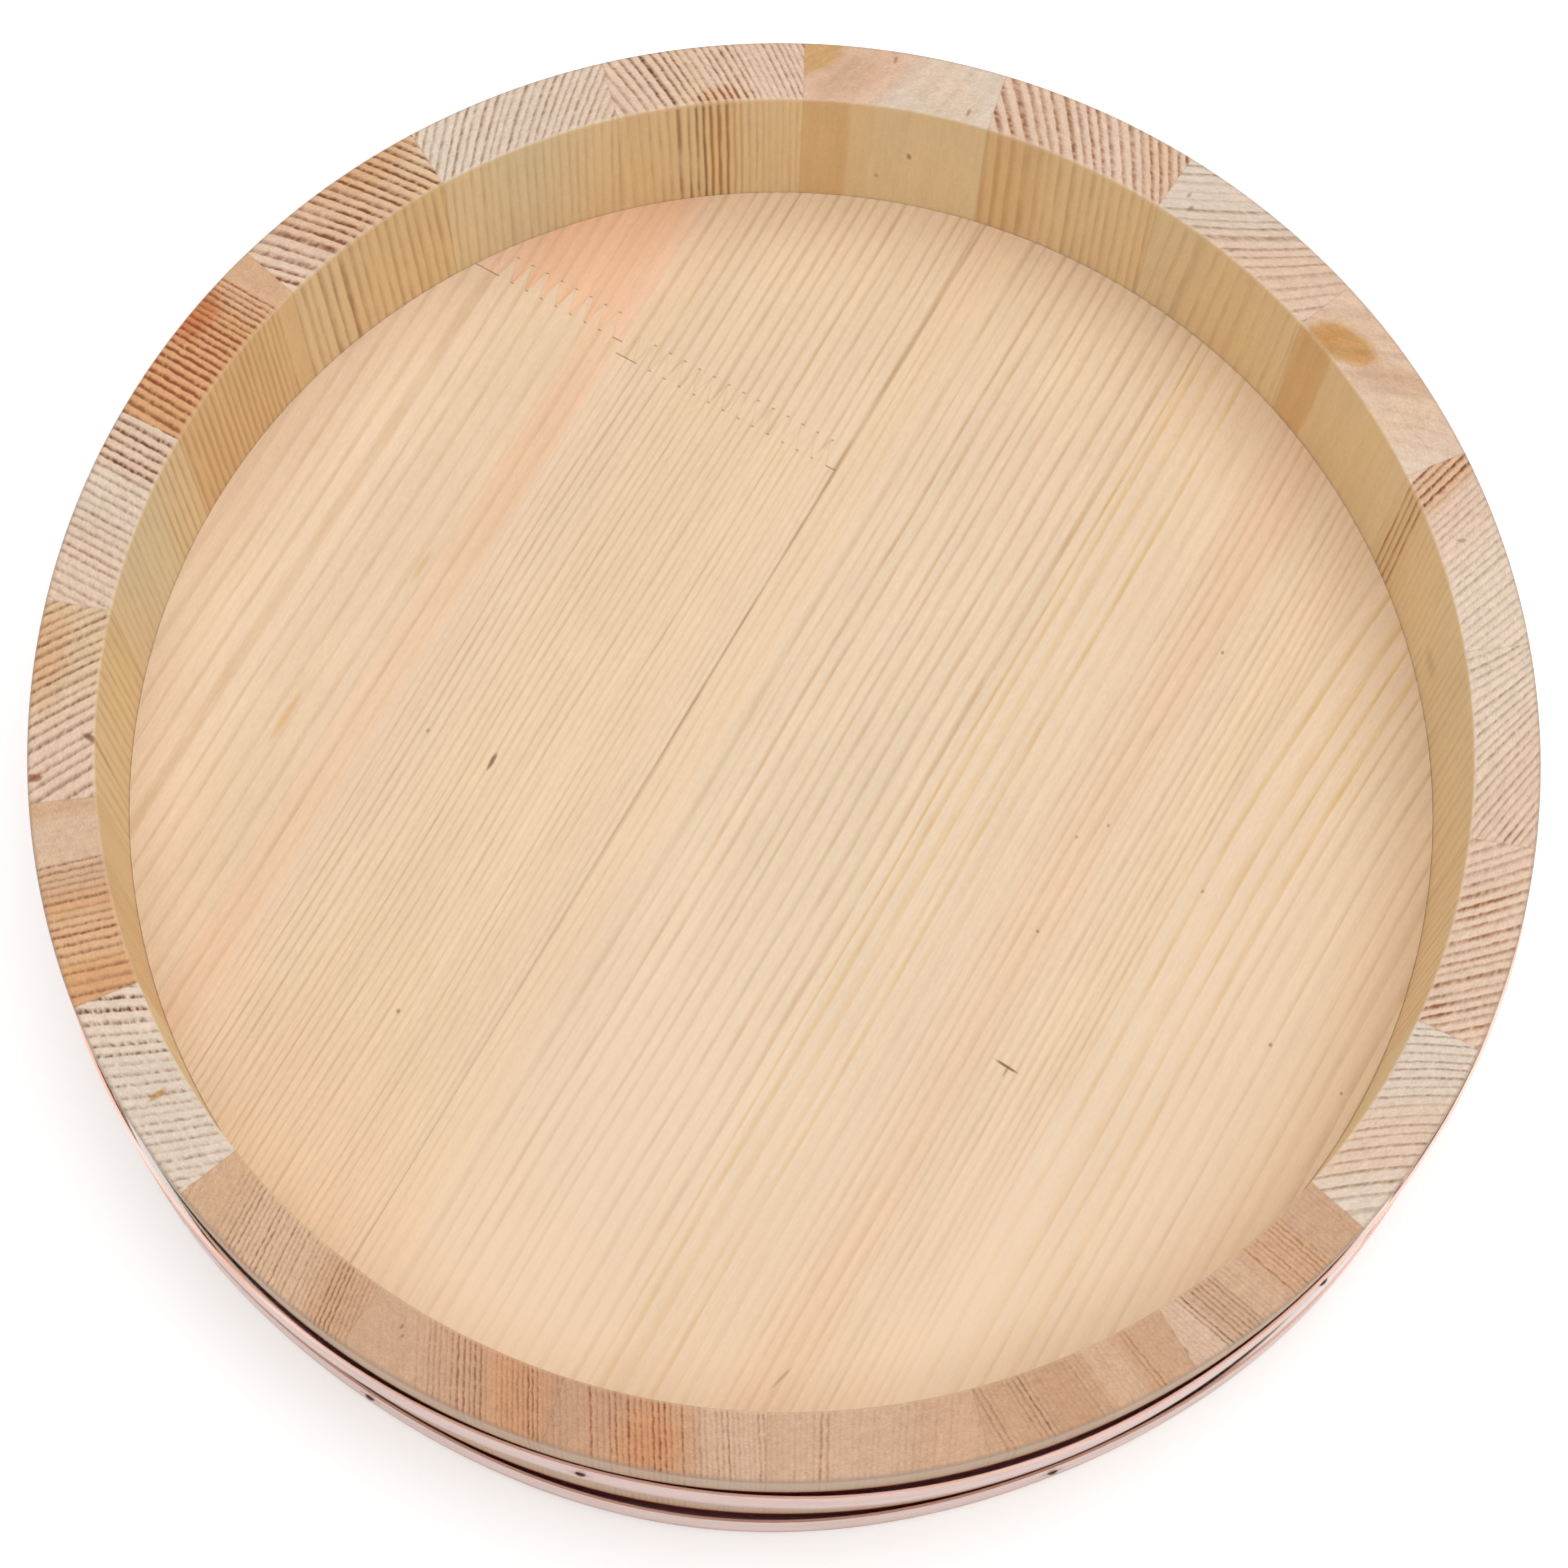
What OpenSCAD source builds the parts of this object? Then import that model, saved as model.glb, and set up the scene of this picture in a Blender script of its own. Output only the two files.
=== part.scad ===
// Hangiri: a low coopered tub for cooling and dressing sushi rice.
// Staves stand in a ring, a jointed board bottom sits in a groove in them,
// and two nailed copper bands hold the ring together.
// The Z axis is the axis of the tub and z = 0 is the ground under the stave ends.

/* [Tub] */
// Outside diameter of the rim
rim_d = 330; // [300:1:400]
// Height of the staves
tub_h = 75; // [66:1:110]
// Thickness of the wall at the rim
wall_t = 14.8; // [12:0.1:18]
// How far the outside leans in from the rim down to the foot
outer_lean = 0.75; // [0:0.05:2]
// How far the inside leans in from the rim down to the foot
inner_lean = 2.2; // [0:0.1:4]

/* [Staves] */
// Number of staves in the ring
stave_count = 22; // [18:1:28]
// Direction of the first joint between two staves
first_joint_az = 9.7; // [0:0.1:12]
// Rounding of the outer edge of the rim
rim_outer_round = 1.2; // [0.5:0.1:2.5]
// Rounding of the inner edge of the rim
rim_inner_round = 0.6; // [0.3:0.1:2]
// Bevel on both edges of the foot
foot_bevel = 1.2; // [0.5:0.1:2.5]

/* [Bottom] */
// Height of the underside of the bottom above the ground
bottom_z = 15; // [10:0.5:20]
// Thickness of the bottom
bottom_t = 14; // [12:0.5:18]
// Depth of the groove in the staves
groove_depth = 4.5; // [3:0.1:6]
// Height of the groove in the staves
groove_h = 10; // [6:0.1:11]
// Room left around the edge of the bottom
edge_room = 0.1; // [0.05:0.01:0.3]

/* [Bottom boards] */
// Width of the inner boards across the grain
board_w = 59.5; // [50:0.5:66]
// How far the middle board lies to the side of the axis
board_shift = 2; // [-8:0.5:8]
// Direction of the grain, turned from the X axis
grain_az = 63.3; // [0:0.1:90]
// Width of the open glue line beside the middle board
open_line = 0.05; // [0.02:0.01:0.5]

/* [Finger joints] */
// Distance from the axis to the joint in the outer board
outer_joint_at = 76.4; // [60:0.1:84]
// Distance from the axis to the joint in the inner board
inner_joint_at = 73.3; // [60:0.1:84]
// Length of a finger along the grain
finger_l = 6.5; // [4:0.1:12]
// Distance from one finger to the next
finger_pitch = 4; // [3.6:0.05:6]
// Width of the blunt end of a finger
finger_tip = 0.7; // [0.3:0.05:1.2]
// Gap left in front of each finger end
tip_gap = 0.2; // [0.1:0.05:0.8]
// Plain stretch between the fingers and the edge of a board
finger_margin = 2.6; // [1:0.1:5]

/* [Bands] */
// Thickness of the copper strip
band_t = 0.6; // [0.4:0.05:1.2]
// Width of the upper band
upper_band_w = 16; // [10:0.5:20]
// Width of the lower band
lower_band_w = 16; // [10:0.5:20]
// Distance from the rim down to the upper band
upper_band_drop = 14.5; // [8:0.5:20]
// Height of the lower edge of the lower band
lower_band_z = 8; // [4:0.5:12]
// Room between the wall and a band beside its nails
band_room = 0.3; // [0.05:0.01:0.5]
// How far the upper band stands off halfway between two nails
upper_slack = 1; // [0.6:0.1:2]
// How far the lower band stands off halfway between two nails
lower_slack = 1.2; // [0.6:0.1:2]
// Length of the overlap where the ends of a strip meet
lap_l = 40; // [30:1:50]

/* [Nails] */
// Number of nails along each band, apart from the two in its overlap
nail_count = 6; // [5:1:6]
// Angle from one nail of the upper band to the next
upper_nail_step = 59.5; // [50:0.1:60]
// Angle from one nail of the lower band to the next
lower_nail_step = 54.6; // [50:0.1:60]
// Direction of the first nail of the upper band
upper_nail_az = 138.9; // [130:0.1:139]
// Direction of the first nail of the lower band
lower_nail_az = 130.4; // [126:0.1:138]
// Diameter of a nail shank
shank_d = 1.1; // [0.8:0.05:1.6]
// Length of a nail under its head
nail_l = 9; // [6:0.5:10]
// Diameter of a nail head
head_d = 2.4; // [2:0.1:3.6]
// Height of a nail head
head_h = 0.5; // [0.3:0.05:1]
// Room between a shank and its hole
hole_room = 0.05; // [0.02:0.01:0.15]
// Distance from a nail in the overlap to the end of the strip
lap_nail_inset = 6; // [4:0.5:10]

/* [Hidden] */
$fn = 180;
rim_r = rim_d / 2;
stave_angle = 360 / stave_count;
groove_z = bottom_z + (bottom_t - groove_h) / 2;
floor_z = bottom_z + bottom_t;
round_steps = 5;
// Reach of a cutting shape past the piece that it cuts
past = 1;
// Largest turn between two points along a bent strip
bend_step = 1.5;
// Length and number of parts of the step from the wall onto the strip's own end
step_l = 4;
step_parts = 4;
// Gap between the covered end of a strip and the step
end_gap = 0.3;
// Room between the two layers of the overlap
lap_room = 0.05;
// Length of the point of a nail
point_l = 2;

upper_band_z = tub_h - upper_band_drop - upper_band_w;
upper_band_r = outside_r(upper_band_z + upper_band_w) + band_room;
lower_band_r = outside_r(lower_band_z + lower_band_w) + band_room;
upper_nails = nail_row(upper_nail_az, upper_nail_step);
lower_nails = nail_row(lower_nail_az, lower_nail_step);
upper_lap_az = lap_middle(upper_nail_az, upper_nail_step);
lower_lap_az = lap_middle(lower_nail_az, lower_nail_step);

pale_wood = [0.89, 0.78, 0.62];
pink_wood = [0.87, 0.70, 0.56];
orange_wood = [0.84, 0.63, 0.42];
tan_wood = [0.78, 0.62, 0.48];
copper = [0.86, 0.66, 0.60];
dark_metal = [0.30, 0.22, 0.18];
wood_tones = [pink_wood, pale_wood, tan_wood, pale_wood, orange_wood, pink_wood];

function stave_name(i) = str("stave_", i < 10 ? "0" : "", i);

// Radius of the outside and of the inside of the wall at a height
function outside_r(z) = rim_r - outer_lean * (tub_h - z) / tub_h;
function inside_r(z) = rim_r - wall_t - inner_lean * (tub_h - z) / tub_h;

// Directions of the nails along one band
function nail_row(first, step) = [for (k = [0:nail_count - 1]) first + k * step];

// Direction of the middle of the overlap, halfway across the stretch without nails
function lap_middle(first, step) = (first + 360 + first + (nail_count - 1) * step) / 2;

// Angle that a length takes up along a circle
function along(l, r) = l / r * 180 / PI;

// Smallest turn between two directions
function turn_between(a, b) = abs((((a - b) % 360) + 540) % 360 - 180);

// Points of a round stretch of an outline
function round_stretch(x, y, r, from, to) =
    [for (i = [0:round_steps])
        let (a = from + (to - from) * i / round_steps)
        [x + r * cos(a), y + r * sin(a)]];

// Cross-section of a stave: bevelled foot, leaning faces, rounded rim, groove
function stave_section() = concat(
    [[inside_r(0) + foot_bevel, 0], [outside_r(0) - foot_bevel, 0]],
    [[outside_r(foot_bevel), foot_bevel]],
    round_stretch(rim_r - rim_outer_round, tub_h - rim_outer_round, rim_outer_round, 0, 90),
    round_stretch(inside_r(tub_h) + rim_inner_round, tub_h - rim_inner_round,
                  rim_inner_round, 90, 180),
    [[inside_r(groove_z + groove_h), groove_z + groove_h]],
    [[inside_r(groove_z) + groove_depth, groove_z + groove_h]],
    [[inside_r(groove_z) + groove_depth, groove_z]],
    [[inside_r(groove_z), groove_z], [inside_r(foot_bevel), foot_bevel]]
);

// One stave, cut on two planes through the axis, with holes for the nails in it
module stave(i) {
    start = first_joint_az + (i - 1) * stave_angle;
    color(wood_tones[i % len(wood_tones)])
    difference() {
        rotate([0, 0, start])
            rotate_extrude(angle = stave_angle) polygon(stave_section());
        nail_holes_near(start + stave_angle / 2);
    }
}

// Holes of all nails whose direction falls within a stave
module nail_holes_near(middle) {
    reach = stave_angle / 2 + along(shank_d, rim_r);
    for (az = upper_nails_all())
        if (turn_between(az, middle) < reach)
            nail_hole(az, upper_band_r, upper_band_z + upper_band_w / 2);
    for (az = lower_nails_all())
        if (turn_between(az, middle) < reach)
            nail_hole(az, lower_band_r, lower_band_z + lower_band_w / 2);
}

// A hole along a radius, deep enough for the longest reach of a nail
module nail_hole(az, r, z) {
    depth = nail_l + past;
    two_layers = 2 * band_t + lap_room;
    rotate([0, 0, az]) translate([r - depth, 0, z]) rotate([0, 90, 0])
        cylinder(h = depth + two_layers + past, d = shank_d + 2 * hole_room);
}

// The whole bottom as one turned disc, with a tongue that fills the groove
module bottom_disc() {
    tongue_r = inside_r(groove_z) + groove_depth - edge_room;
    tongue_top = groove_z + groove_h - edge_room;
    rotate_extrude() polygon([
        [0, bottom_z],
        [inside_r(bottom_z) - edge_room, bottom_z],
        [inside_r(groove_z) - edge_room, groove_z],
        [tongue_r, groove_z],
        [tongue_r, tongue_top],
        [inside_r(tongue_top) - edge_room, tongue_top],
        [inside_r(floor_z) - edge_room, floor_z],
        [0, floor_z]
    ]);
}

// Joints between the boards, measured across the grain from the axis
function board_edge(k) = board_shift + (k - 2) * board_w;

// A board of the bottom, cut from the disc by its outline seen from above
module board(tone) {
    color(tone)
    intersection() {
        bottom_disc();
        rotate([0, 0, grain_az - 90]) translate([0, 0, bottom_z - past])
            linear_extrude(bottom_t + 2 * past) children();
    }
}

// Outline of a strip of the bottom between two joints
module strip(from, to) {
    translate([from, -rim_r]) square([to - from, rim_d]);
}

// How far the bottom reaches to one side, at a distance along the grain from the axis
function half_chord(at) = sqrt(pow(inside_r(bottom_z) - edge_room, 2) - at * at);

inner_fingers = floor((board_w - 2 * finger_margin) / finger_pitch);
outer_fingers = floor(
    (half_chord(outer_joint_at + finger_l) + board_edge(0.5) - finger_margin) / finger_pitch
);

// Edge of a row of fingers from right to left, each one standing up from low.
// The low and the high stretches are moved apart by the cuts that leave the tip gaps.
function finger_edge(right, count, low, low_cut, high_cut) =
    let (lean = finger_pitch / 2 - finger_tip)
    let (low_in = lean * low_cut / finger_l, high_in = lean * high_cut / finger_l)
    let (high = low + finger_l)
    [for (k = [0:count - 1])
        let (x = right - finger_margin - k * finger_pitch)
        for (p = [
            [x - low_in, low + low_cut],
            [x - lean + high_in, high - high_cut],
            [x - lean - finger_tip - high_in, high - high_cut],
            [x - 2 * lean - finger_tip + low_in, low + low_cut]
        ]) p];

// Everything beyond a finger joint, or everything before it
module joint_side(right, count, low, beyond) {
    low_cut = beyond ? tip_gap : 0;
    high_cut = beyond ? 0 : tip_gap;
    far = beyond ? rim_r : -rim_r;
    polygon(concat(
        [[right + past, far], [right + past, low + low_cut]],
        finger_edge(right, count, low, low_cut, high_cut),
        [[-rim_r, low + low_cut], [-rim_r, far]]
    ));
}

module bottom_board_1() {
    board(pale_wood) intersection() {
        strip(-rim_r, board_edge(0.5));
        joint_side(board_edge(0.5), outer_fingers, outer_joint_at, false);
    }
}

module bottom_board_1_end() {
    board(orange_wood) intersection() {
        strip(-rim_r, board_edge(0.5));
        joint_side(board_edge(0.5), outer_fingers, outer_joint_at, true);
    }
}

module bottom_board_2() {
    board(pink_wood) intersection() {
        strip(board_edge(0.5), board_edge(1.5) - open_line);
        joint_side(board_edge(1.5), inner_fingers, inner_joint_at, false);
    }
}

module bottom_board_2_end() {
    board(pale_wood) intersection() {
        strip(board_edge(0.5), board_edge(1.5));
        joint_side(board_edge(1.5), inner_fingers, inner_joint_at, true);
    }
}

module bottom_board_3() {
    board(pale_wood) strip(board_edge(1.5), board_edge(2.5));
}

module bottom_board_4() {
    board(pink_wood) strip(board_edge(2.5), board_edge(3.5));
}

module bottom_board_5() {
    board(pale_wood) strip(board_edge(3.5), rim_r);
}

// Half of the angle between the two nails of an overlap
function lap_nail_half() = along(lap_l / 2 - lap_nail_inset, rim_r);

// All nails of a band: the row and the pair in the overlap
function upper_nails_all() =
    concat(upper_nails, [upper_lap_az - lap_nail_half(), upper_lap_az + lap_nail_half()]);
function lower_nails_all() =
    concat(lower_nails, [lower_lap_az - lap_nail_half(), lower_lap_az + lap_nail_half()]);

// How far a strip swells out from the wall between two stops, where it lies on the wall.
// A shorter stretch swells less, in the square of its length.
function swell_at(az, stops, slack, step) =
    let (swells = [for (k = [0:len(stops) - 2])
        let (from = stops[k], span = stops[k + 1] - stops[k])
        if (az > from && az < from + span)
            slack * pow(span / step, 2) * pow(sin(180 * (az - from) / span), 2)])
    len(swells) > 0 ? swells[0] : 0;

// Directions that split a stretch evenly, none of them further apart than bend_step
function split_turn(from, to) =
    let (n = ceil((to - from) / bend_step))
    [for (i = [0:n]) from + (to - from) * i / n];

function polar(r, az) = [r * cos(az), r * sin(az)];

// A copper strip bent round the tub. It lies on the wall at each nail, swells out
// between the nails, and steps out at the end to lap over its own beginning.
module band(r, nails, nails_all, lap_az, slack, step, z, w) {
    lap_half = along(lap_l / 2, r);
    step_to = lap_az - lap_half - along(end_gap, r);
    step_from = step_to - along(step_l, r);
    layer = band_t + lap_room;
    stops = concat([lap_az - 360 + lap_half], nails, [step_from]);
    turns = concat(
        split_turn(lap_az - lap_half - 360, step_from),
        [for (i = [1:step_parts]) step_from + (step_to - step_from) * i / step_parts],
        split_turn(lap_az - lap_half, lap_az + lap_half)
    );
    inner_face = [for (az = turns)
        let (climb = min(1, max(0, (az - step_from) / (step_to - step_from))))
        r + swell_at(az, stops, slack, step) + layer * (1 - cos(180 * climb)) / 2];
    count = len(turns);
    color(copper)
    difference() {
        translate([0, 0, z]) linear_extrude(w) polygon(concat(
            [for (i = [0:count - 1]) polar(inner_face[i], turns[i])],
            [for (i = [count - 1:-1:0]) polar(inner_face[i] + band_t, turns[i])]
        ));
        for (az = nails_all) nail_hole(az, r, z + w / 2);
    }
}

module upper_band() {
    band(upper_band_r, upper_nails, upper_nails_all(), upper_lap_az, upper_slack,
         upper_nail_step, upper_band_z, upper_band_w);
}

module lower_band() {
    band(lower_band_r, lower_nails, lower_nails_all(), lower_lap_az, lower_slack,
         lower_nail_step, lower_band_z, lower_band_w);
}

// A nail with a low domed head, its head resting on radius r
module nail(az, r, z) {
    rotate([0, 0, az]) translate([r, 0, z]) rotate([0, 90, 0])
        rotate_extrude() polygon(concat(
            [[0, -nail_l], [shank_d / 2, point_l - nail_l], [shank_d / 2, 0], [head_d / 2, 0]],
            [for (i = [1:round_steps])
                let (a = 90 * i / round_steps)
                [head_d / 2 * cos(a), head_h * sin(a)]]
        ));
}

// The nails of one band: the row on one layer and the pair on two
module band_nails(nails, lap_az, r, z) {
    color(dark_metal) {
        for (az = nails) nail(az, r + band_t, z);
        for (side = [-1, 1])
            nail(lap_az + side * lap_nail_half(), r + 2 * band_t + lap_room, z);
    }
}

module upper_band_nails() {
    band_nails(upper_nails, upper_lap_az, upper_band_r, upper_band_z + upper_band_w / 2);
}

module lower_band_nails() {
    band_nails(lower_nails, lower_lap_az, lower_band_r, lower_band_z + lower_band_w / 2);
}

for (i = [1:stave_count])
    stave(i);
bottom_board_1();
bottom_board_1_end();
bottom_board_2();
bottom_board_2_end();
bottom_board_3();
bottom_board_4();
bottom_board_5();
upper_band();
lower_band();
upper_band_nails();
lower_band_nails();
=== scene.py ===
"""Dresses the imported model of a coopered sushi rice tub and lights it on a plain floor."""

import math

import bpy
from bpy.props import FloatProperty, FloatVectorProperty, PointerProperty
from mathutils import Matrix, Vector


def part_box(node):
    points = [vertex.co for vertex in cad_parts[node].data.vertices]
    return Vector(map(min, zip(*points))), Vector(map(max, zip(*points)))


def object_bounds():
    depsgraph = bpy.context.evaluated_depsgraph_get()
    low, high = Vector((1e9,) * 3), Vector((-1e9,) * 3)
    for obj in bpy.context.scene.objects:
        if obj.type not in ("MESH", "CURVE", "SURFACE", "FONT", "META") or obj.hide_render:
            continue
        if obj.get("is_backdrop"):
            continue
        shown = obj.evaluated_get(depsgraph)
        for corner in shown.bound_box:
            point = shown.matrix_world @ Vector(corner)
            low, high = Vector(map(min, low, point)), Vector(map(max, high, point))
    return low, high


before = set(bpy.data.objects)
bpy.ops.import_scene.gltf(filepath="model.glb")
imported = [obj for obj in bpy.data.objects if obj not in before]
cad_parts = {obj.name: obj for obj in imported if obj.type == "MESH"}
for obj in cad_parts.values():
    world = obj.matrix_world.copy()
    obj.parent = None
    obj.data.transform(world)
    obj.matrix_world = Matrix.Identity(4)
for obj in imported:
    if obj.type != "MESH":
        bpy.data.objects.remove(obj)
cad_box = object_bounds()

bl_info = {
    "name": "Sushi Rice Tub",
    "version": (1, 0, 0),
    "blender": (4, 5, 0),
    "location": "View3D > Sidebar > Rice Tub",
    "description": "Gives a coopered rice tub its wood, copper and studio",
    "category": "Object",
}

# The tub's own sizes. Lengths in the patterns of wood and copper are in mm, and angles round
# the wall in degrees.
MM = 0.001
STAVE_COUNT = 22
STAVE_STEP = 360.0 / STAVE_COUNT
FIRST_JOINT = 9.7
RIM_R = max(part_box(f"stave_{i + 1:02d}")[1].x for i in range(STAVE_COUNT)) / MM
WALL_T = 14.8
MID_R = RIM_R - WALL_T / 2
MM_A_DEGREE = math.radians(MID_R)
STAVE_W = STAVE_STEP * MM_A_DEGREE
TUB_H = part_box("stave_01")[1].z / MM
GRAIN_AZ = 63.3
# Where the edges of rim and foot are worn, and where the rim's outer edge is greyed as painted
# shade: how far from the end grain, in mm, and how far through the wall, from -0.5 at its inner
# face to 0.5 at its outer one
RIM_WEAR = (2.0, 0.8)
FOOT_WEAR = (0.6, 3.0)
RUBBED_IN = (-0.475, -0.45)
OUTER_ARRIS_SHADE = (0.43, 0.49)

# Constant finish of the materials
WOOD_IOR = 1.42
WOOD_SPECULAR = 0.4
FLOOR_SPECULAR = 0.2
WHITE = (1.0, 1.0, 1.0, 1.0)

# The studio, in metres, and the camera's film in mm
FLOOR_HALF = 4.0
SQUARE = ((-1, -1), (1, -1), (1, 1), (-1, 1))
SOFTBOX_SIDE = 1.6
SOFTBOX_AT = (0.2, 0.05, 1.7)
FILM_W = 36.0
NEAREST = 0.01


def linear(red, green, blue):
    """A screen colour from 0 to 255 as the light it stands for."""
    return tuple(
        v / 12.92 if v <= 0.04045 else ((v + 0.055) / 1.055) ** 2.4
        for v in (red / 255, green / 255, blue / 255)
    )


def tone(name, description, red, green, blue):
    """A colour that the user may change."""
    return FloatVectorProperty(
        name=name,
        description=description,
        subtype="COLOR",
        size=3,
        min=0.0,
        max=1.0,
        default=linear(red, green, blue),
    )


def share(name, description, default, low=0.0, high=1.0):
    """A part of a whole that the user may change."""
    return FloatProperty(
        name=name,
        description=description,
        subtype="FACTOR",
        min=low,
        max=high,
        default=default,
    )


def length(name, description, default, low, high):
    """A length in metres that the user may change."""
    return FloatProperty(
        name=name,
        description=description,
        unit="LENGTH",
        precision=5,
        min=low,
        max=high,
        default=default,
    )


def angle(name, description, default):
    """An angle that the user may change, given in degrees."""
    return FloatProperty(
        name=name,
        description=description,
        subtype="ANGLE",
        default=math.radians(default),
    )


class TubWood(bpy.types.PropertyGroup):
    """Colours and finish of the bare softwood."""

    cream: tone("Cream", "Palest sapwood", 238, 215, 191)
    pale: tone("Pale", "Pale wood of the bottom", 228, 203, 174)
    grey: tone("Grey cream", "Pale wood with a grey cast", 230, 213, 194)
    pink: tone("Pink", "Pinkish heartwood", 236, 204, 177)
    rose: tone("Rose", "Rosier streaks in the heartwood", 233, 187, 155)
    honey: tone("Honey", "Yellow-tan wood", 234, 201, 162)
    fawn: tone("Fawn", "Light tan wood", 219, 178, 141)
    tan: tone("Tan", "Plain tan wood", 211, 168, 134)
    clay: tone("Clay", "Brownest of the tan wood", 202, 154, 120)
    orange: tone("Orange", "Orange heartwood", 226, 170, 118)
    flank: tone("Side grain", "What the ground of the wall's sides fades to", 241, 211, 178)
    ochre: tone("Ochre", "Resin-stained wood", 206, 156, 86)
    rust: tone("Rust", "Red-orange patches of resin", 212, 124, 70)
    brown: tone("Brown line", "Late wood in the end grain", 153, 95, 48)
    umber: tone("Umber line", "Strong late wood in the tan wood", 132, 74, 32)
    dark: tone("Dark line", "Strongest late wood", 114, 63, 27)
    red: tone("Red line", "Late wood full of resin", 150, 74, 34)
    dust: tone("Grey line", "Soft grey-brown late wood", 160, 122, 86)
    thread: tone("Fine line", "Late wood of the bottom boards", 196, 160, 118)
    straw: tone("Straw line", "Wide yellow late wood", 206, 170, 108)
    glue: tone("Glue", "Old glue in the joints of the bottom", 158, 126, 76)
    bark: tone("Mark", "Knots and pinholes", 116, 78, 40)
    side_rust: tone("Rusty side grain", "Resin bands in the wall's sides", 222, 172, 122)
    inner_tone: tone("Inner wall", "Tint of the wall's inner side", 252, 255, 234)
    end_tone: tone("End grain", "Tint of the rim and the foot", 238, 238, 240)
    # Painted shade: this darker tint of the wall's outer side stands for the little light that
    # side gets
    outer_shade_tone: tone("Outer wall", "Tint of the wall's outer side", 212, 210, 210)
    arris: tone("Rubbed edge", "Inner edge of the rim, rubbed pale", 240, 218, 190)
    # Painted shade: the rim's outer edge is greyed, standing for the shade on its rounding, which
    # turns away from the light
    outer_arris_shade: tone("Handled edge", "Outer edge of the rim, greyed by hands", 158, 132, 118)
    # This share also sets how dark the painted shade on the rim's outer edge is
    wear_and_shade: share("Wear", "How much the edges of the rim and the foot are worn", 0.4)
    # Painted shade: the outer wall behind each band is turned deep maroon, standing for the shade
    # in the gap between band and wall, reddened by the copper
    behind_band_shade: tone("Behind a band", "Wood stained by the copper in front of it", 190, 20, 10)
    roughness: share("Roughness", "How dull the sanded wood is", 0.62)
    side_lines: share("Side grain", "How much fainter the lines are in side grain", 0.66)
    relief: length("Relief", "How far the fibres stand up", 0.00006, 0.0, 0.001)


class TubCopper(bpy.types.PropertyGroup):
    """Colours and finish of the bands and their nails."""

    band: tone("Band", "Polished copper strip", 198, 160, 149)
    stain: tone("Stain", "Duller copper where it has been handled", 185, 140, 121)
    # Round the nails this film is tarnish; along the bands' lower edges it is painted shade as
    # well as tarnish
    tarnish_and_shade: tone("Tarnish", "Brown film round the nails and along the lower edges", 148, 108, 98)
    nail: tone("Nail", "Browned nail heads", 122, 74, 58)
    nail_stain: tone("Nail stain", "Dark rim round the nail heads", 58, 34, 28)
    # Painted shade: the band's inner face is dark red, so that the gap between band and wall
    # shades maroon
    inner: tone("Inner face", "Raw copper against the wall", 150, 30, 20)
    roughness: share("Roughness", "How dull the polished strip is", 0.24)
    scratch: length("Scratches", "Depth of the rolling marks", 0.00002, 0.0, 0.001)


class TubStudio(bpy.types.PropertyGroup):
    """The floor, the light and the camera."""

    floor: tone("Floor", "Pale plain floor", 250, 250, 250)
    sky: FloatProperty(name="Sky", description="Light from all round", default=0.57, min=0.0)
    glow: FloatProperty(
        name="Glow",
        description="Light of the floor itself, as of a sweep lit from below",
        default=0.28,
        min=0.0,
    )
    lamp: FloatProperty(
        name="Softbox",
        description="Light of the softbox overhead, in watts",
        default=18.5,
        min=0.0,
    )
    lens: FloatProperty(
        name="Lens",
        description="Focal length",
        unit="CAMERA",
        default=96.67,
        min=1.0,
    )
    distance: length("Distance", "Camera to the middle of the rim", 0.918044, 0.1, 10.0)
    height: angle("Height", "How far up the camera looks down from", 71.7706)
    pan: angle("Pan", "Turn of the camera to the side", -0.0159)
    tilt: angle("Tilt", "Turn of the camera up or down", -0.824)
    roll: angle("Roll", "Turn of the camera about its own line of sight", 3.167)


class Term:
    """A value on its way through a material, which adds and multiplies as a number does."""

    def __init__(self, sheet, socket):
        self.sheet = sheet
        self.socket = socket

    def __add__(self, other):
        return self.sheet.math("ADD", self, other)

    def __sub__(self, other):
        return self.sheet.math("SUBTRACT", self, other)

    def __rsub__(self, other):
        return self.sheet.math("SUBTRACT", other, self)

    def __mul__(self, other):
        return self.sheet.math("MULTIPLY", self, other)

    def __truediv__(self, other):
        return self.sheet.math("DIVIDE", self, other)

    __radd__ = __add__
    __rmul__ = __mul__


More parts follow.
